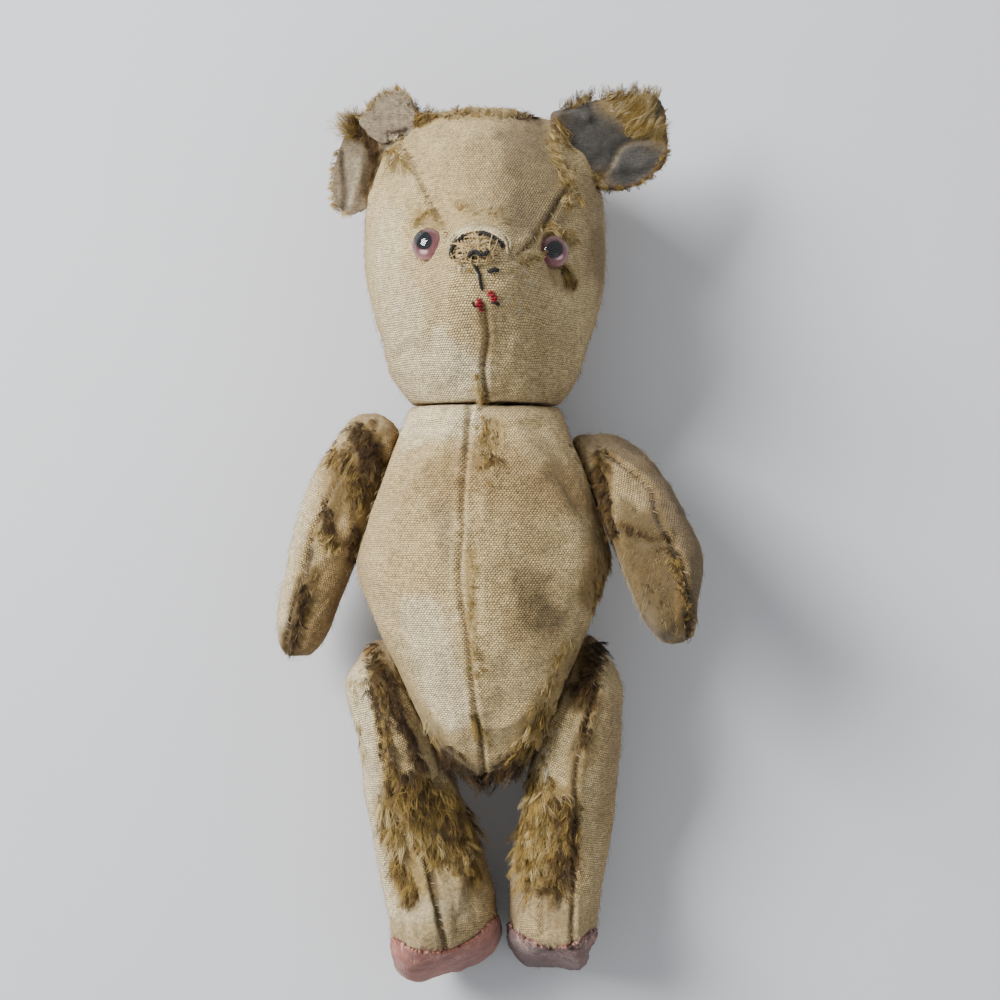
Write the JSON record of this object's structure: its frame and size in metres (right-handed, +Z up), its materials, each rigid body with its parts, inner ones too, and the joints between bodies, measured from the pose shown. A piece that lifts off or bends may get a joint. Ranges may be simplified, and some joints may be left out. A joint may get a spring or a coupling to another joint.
{
  "type": "threadbare teddy bear",
  "caption": "Old stuffed toy bear lying on its back, mohair pile worn down to bare cloth, with glass eyes, ragged ears and disc joints at neck, shoulders and hips",
  "frame": {"origin": "Under the middle of the bear's bounding box, on the surface that it lies on.", "axes": "+X towards the bear's left arm, +Y from its feet to the top of its head, +Z up, out of its belly, as it lies on its back."},
  "size_m": [0.1216, 0.2558, 0.0817],
  "materials": {
    "bare_plush": "matte",
    "shaded_plush": "matte",
    "brown_plush": "matte",
    "grey_lining": "matte",
    "tan_lining": "matte",
    "pink_pad": "matte",
    "black_thread": "matte",
    "red_thread": "matte",
    "wood_wool": "matte",
    "grey_card": "matte",
    "pin_steel": "satin",
    "pink_glass": "gloss"
  },
  "bodies": {
    "torso": {"torso_panel_left": "bare_plush", "torso_panel_right": "shaded_plush", "torso_stuffing": "wood_wool", "torso_neck_disc": "grey_card", "torso_neck_washer": "pin_steel", "torso_shoulder_left_disc": "grey_card", "torso_shoulder_left_washer": "pin_steel", "torso_shoulder_right_disc": "grey_card", "torso_shoulder_right_washer": "pin_steel", "torso_hip_left_disc": "grey_card", "torso_hip_left_washer": "pin_steel", "torso_hip_right_disc": "grey_card", "torso_hip_right_washer": "pin_steel"},
    "head": {"head_side_left": "bare_plush", "head_side_right": "shaded_plush", "head_gusset": "bare_plush", "head_stuffing": "wood_wool", "eye_left": "pink_glass", "eye_left_shank": "pin_steel", "eye_right": "pink_glass", "eye_right_shank": "pin_steel", "ear_left_back": "brown_plush", "ear_left_lining": "grey_lining", "ear_right_back": "brown_plush", "ear_right_lining": "tan_lining", "nose_stitching": "black_thread", "mouth_stitching": "black_thread", "tongue_thread": "red_thread", "neck_disc": "grey_card", "neck_washer": "pin_steel", "neck_pin": "pin_steel"},
    "arm_left": {"arm_left_outer": "bare_plush", "arm_left_inner": "shaded_plush", "arm_left_stuffing": "wood_wool", "shoulder_left_disc": "grey_card", "shoulder_left_washer": "pin_steel", "shoulder_left_pin": "pin_steel"},
    "arm_right": {"arm_right_outer": "bare_plush", "arm_right_inner": "shaded_plush", "arm_right_stuffing": "wood_wool", "shoulder_right_disc": "grey_card", "shoulder_right_washer": "pin_steel", "shoulder_right_pin": "pin_steel"},
    "leg_left": {"leg_left_outer": "bare_plush", "leg_left_inner": "shaded_plush", "foot_pad_left": "pink_pad", "leg_left_stuffing": "wood_wool", "hip_left_disc": "grey_card", "hip_left_washer": "pin_steel", "hip_left_pin": "pin_steel"},
    "leg_right": {"leg_right_outer": "bare_plush", "leg_right_inner": "shaded_plush", "foot_pad_right": "pink_pad", "leg_right_stuffing": "wood_wool", "hip_right_disc": "grey_card", "hip_right_washer": "pin_steel", "hip_right_pin": "pin_steel"}
  },
  "joints": [
    {"name": "neck_swivel", "type": "hinge", "parent": "torso", "child": "head", "pos_m": [-0.00077, 0.04151, 0.033], "axis": [0, 1, 0], "continuous": true},
    {"name": "shoulder_left", "type": "hinge", "parent": "torso", "child": "arm_left", "pos_m": [0.02683, 0.02351, 0.028], "axis": [-0.9397, -0.342, 0], "range_deg": [-120, 90]},
    {"name": "shoulder_right", "type": "hinge", "parent": "torso", "child": "arm_right", "pos_m": [-0.02837, 0.02351, 0.028], "axis": [-0.9397, 0.342, 0], "range_deg": [-90, 130]},
    {"name": "hip_left", "type": "hinge", "parent": "torso", "child": "leg_left", "pos_m": [0.02083, -0.03809, 0.027], "axis": [-0.9272, 0.3746, 0], "range_deg": [-90, 110]},
    {"name": "hip_right", "type": "hinge", "parent": "torso", "child": "leg_right", "pos_m": [-0.02237, -0.03809, 0.027], "axis": [-0.9063, -0.4226, 0], "range_deg": [-90, 110]}
  ]
}
